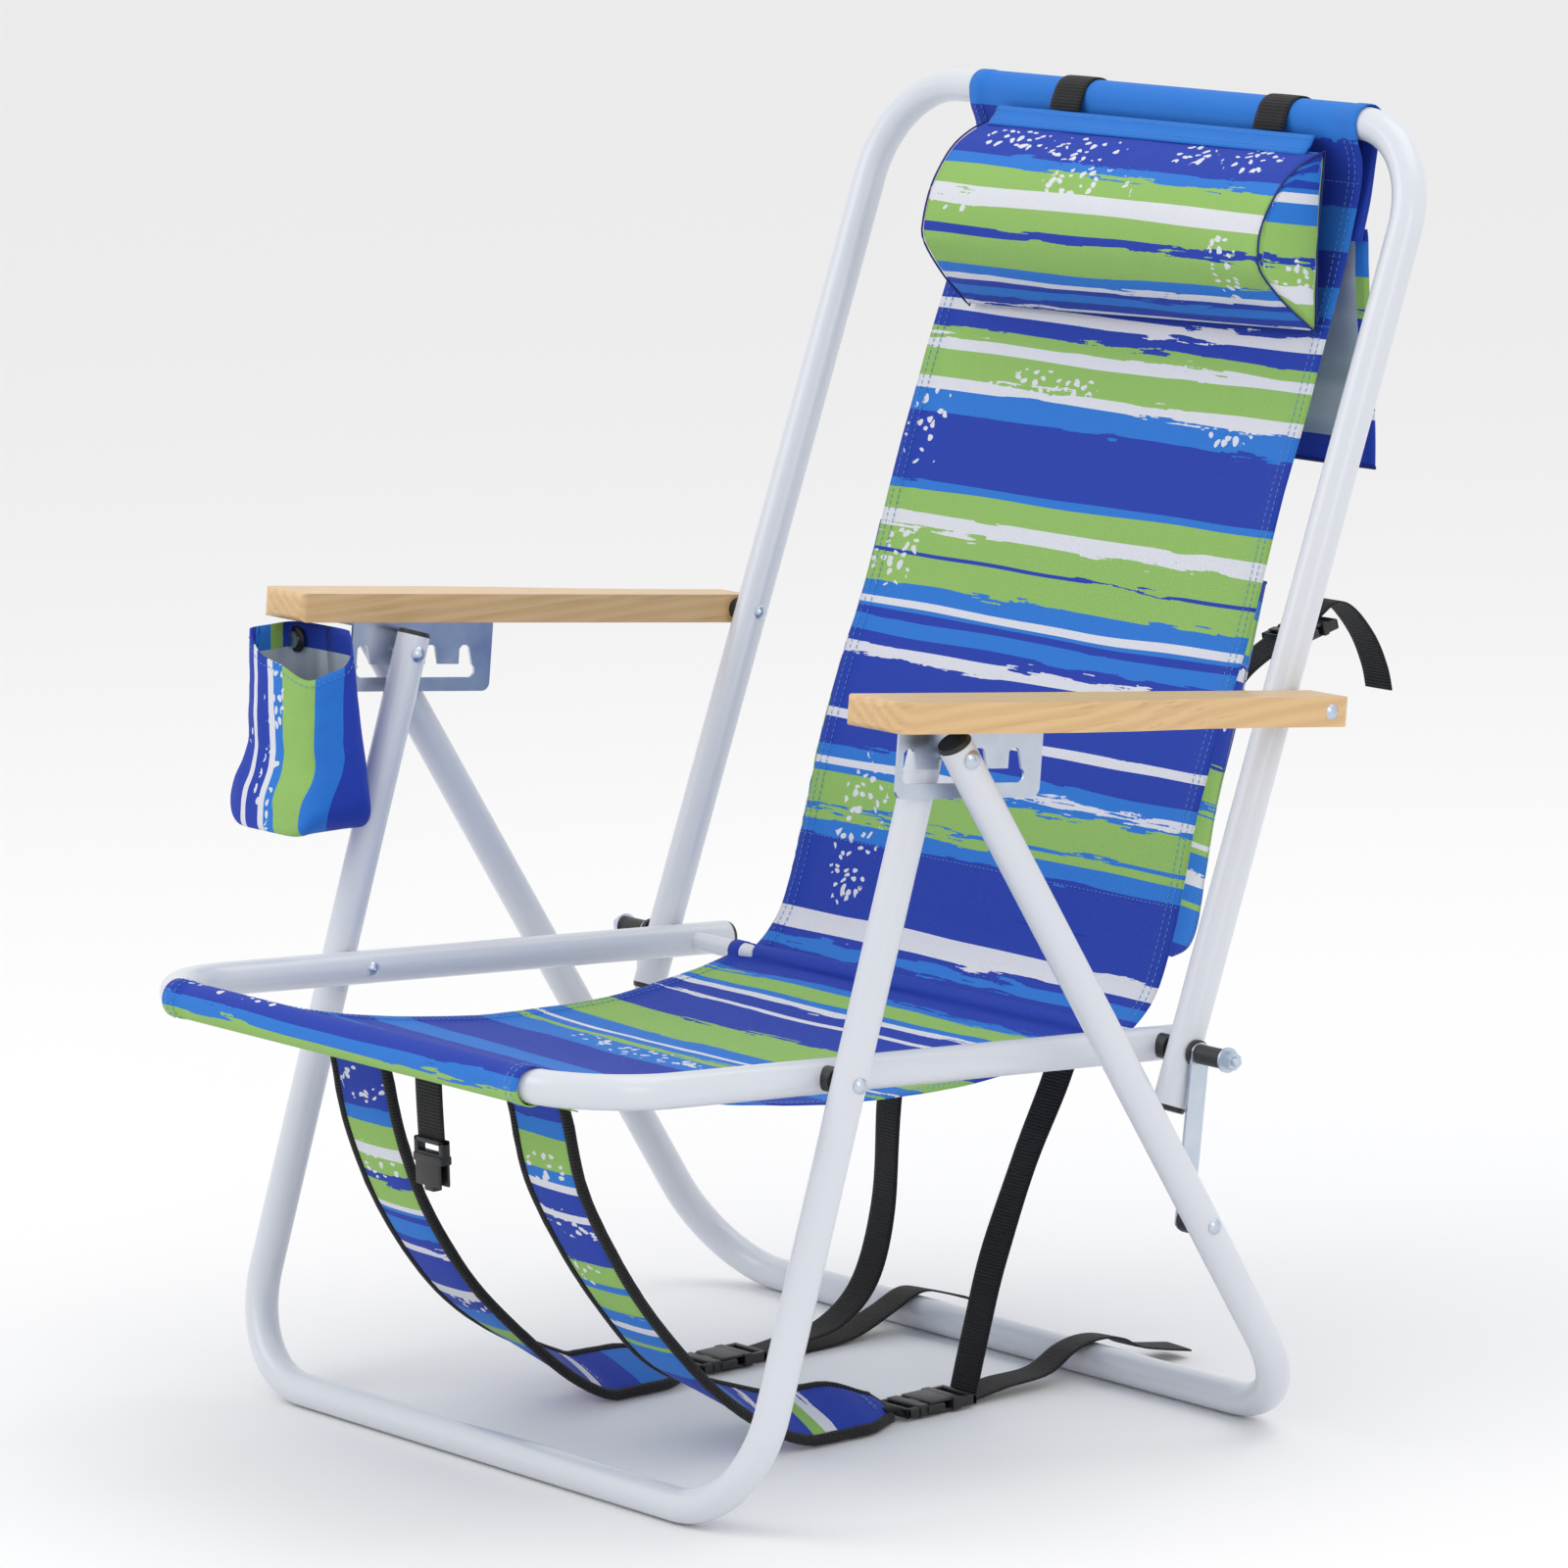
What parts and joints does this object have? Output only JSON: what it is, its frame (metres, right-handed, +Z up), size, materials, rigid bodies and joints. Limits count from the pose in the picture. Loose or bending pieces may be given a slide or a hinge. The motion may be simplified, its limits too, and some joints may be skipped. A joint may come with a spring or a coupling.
{
  "type": "beach_chair",
  "caption": "Low folding beach chair: bent tube frame, sling cloth seat and back, wooden arms with notched recline brackets, head pillow, cup pouch and carry straps",
  "frame": {"origin": "Centre of the bounding box at floor level, the chair standing open on the floor.", "axes": "+Z up, the chair faces -Y, +X is the sitter's left."},
  "size_m": [0.668, 0.7295, 0.8283],
  "materials": {
    "white_powder_coat": "gloss powder coat",
    "black_plastic": "matte",
    "zinc_steel": "zinc plated",
    "striped_cloth": "printed twill weave",
    "black_webbing": "woven webbing",
    "light_wood": "clear lacquer"
  },
  "bodies": {
    "seat_frame": {"seat_frame_tube": "white_powder_coat", "cross_tube": "white_powder_coat", "seat_rail_caps": "black_plastic", "front_leg_rivets": "zinc_steel", "front_leg_bushes": "black_plastic", "back_pivot_bushes": "black_plastic", "seat_cloth": "striped_cloth", "left_shoulder_strap": "striped_cloth", "right_shoulder_strap": "striped_cloth", "left_strap_webbing": "black_webbing", "right_strap_webbing": "black_webbing", "left_strap_buckle": "black_plastic", "right_strap_buckle": "black_plastic", "centre_strap": "black_webbing", "centre_buckle": "black_plastic"},
    "pivot_rod": {"axle_rod": "zinc_steel", "standoff_sleeves": "black_plastic", "link_washers": "black_plastic", "axle_washers": "zinc_steel", "axle_nuts": "zinc_steel"},
    "back_frame": {"back_frame_tube": "white_powder_coat", "back_tube_caps": "black_plastic", "back_cloth": "striped_cloth", "rear_flap": "striped_cloth", "rear_pouch": "striped_cloth", "pouch_webbing": "black_webbing", "pouch_buckle": "black_plastic", "headrest_pillow": "striped_cloth", "pillow_loops": "black_webbing", "arm_pivot_bolts": "zinc_steel", "arm_bushes": "black_plastic"},
    "front_legs": {"front_leg_tube": "white_powder_coat", "front_leg_caps": "black_plastic"},
    "notch_pins": {"notch_pins": "zinc_steel"},
    "rear_legs": {"rear_leg_tube": "white_powder_coat", "rear_leg_caps": "black_plastic", "rear_pin_ends": "zinc_steel", "link_bushes": "black_plastic", "link_rivets": "zinc_steel"},
    "links": {"left_link": "zinc_steel", "right_link": "zinc_steel", "link_rivet_heads": "zinc_steel"},
    "armrests": {"left_armrest": "light_wood", "right_armrest": "light_wood", "left_bracket": "zinc_steel", "right_bracket": "zinc_steel", "bracket_screws": "zinc_steel", "arm_bolt_ends": "zinc_steel", "cup_pouch": "striped_cloth", "cup_pouch_screw": "zinc_steel", "pouch_hanger": "zinc_steel"}
  },
  "joints": [
    {"name": "fold", "type": "hinge", "parent": "seat_frame", "child": "pivot_rod", "pos_m": [0, 0.09679, 0.25269], "axis": [1, 0, 0], "range_deg": [0, 72], "deforming": ["left_shoulder_strap", "right_shoulder_strap", "left_strap_webbing", "right_strap_webbing", "left_strap_buckle", "right_strap_buckle"]},
    {"name": "recline", "type": "hinge", "parent": "pivot_rod", "child": "back_frame", "pos_m": [0, 0.09679, 0.25269], "axis": [1, 0, 0], "range_deg": [-7.57, 14.41]},
    {"name": "front_leg_hinge", "type": "hinge", "parent": "seat_frame", "child": "front_legs", "pos_m": [0, -0.17227, 0.27245], "axis": [1, 0, 0], "range_deg": [0, 85.1]},
    {"name": "rear_leg_hinge", "type": "hinge", "parent": "front_legs", "child": "rear_legs", "pos_m": [0, -0.10624, 0.46943], "axis": [1, 0, 0], "range_deg": [-41.4, 0]},
    {"name": "link_hinge", "type": "hinge", "parent": "seat_frame", "child": "links", "pos_m": [0, 0.09679, 0.25269], "axis": [1, 0, 0], "range_deg": [-79, 0]},
    {"name": "notch_pin_hinge", "type": "hinge", "parent": "front_legs", "child": "notch_pins", "pos_m": [0, -0.10624, 0.46943], "axis": [1, 0, 0], "range_deg": [-75.6, 0]},
    {"name": "armrest_slide", "type": "slide", "parent": "notch_pins", "child": "armrests", "axis": [0, -0.9932, 0.1167], "range_m": [-0.029, 0.055], "deforming": ["cup_pouch"]}
  ],
  "couplings": [
    {"joint": "front_leg_hinge", "follows": "fold", "ratio": 1.1812},
    {"joint": "rear_leg_hinge", "follows": "fold", "ratio": -0.5745},
    {"joint": "link_hinge", "follows": "fold", "ratio": -1.0966},
    {"joint": "notch_pin_hinge", "follows": "fold", "ratio": -1.0497},
    {"joint": "armrest_slide", "follows": "recline", "m_per_rad": 0.218}
  ]
}
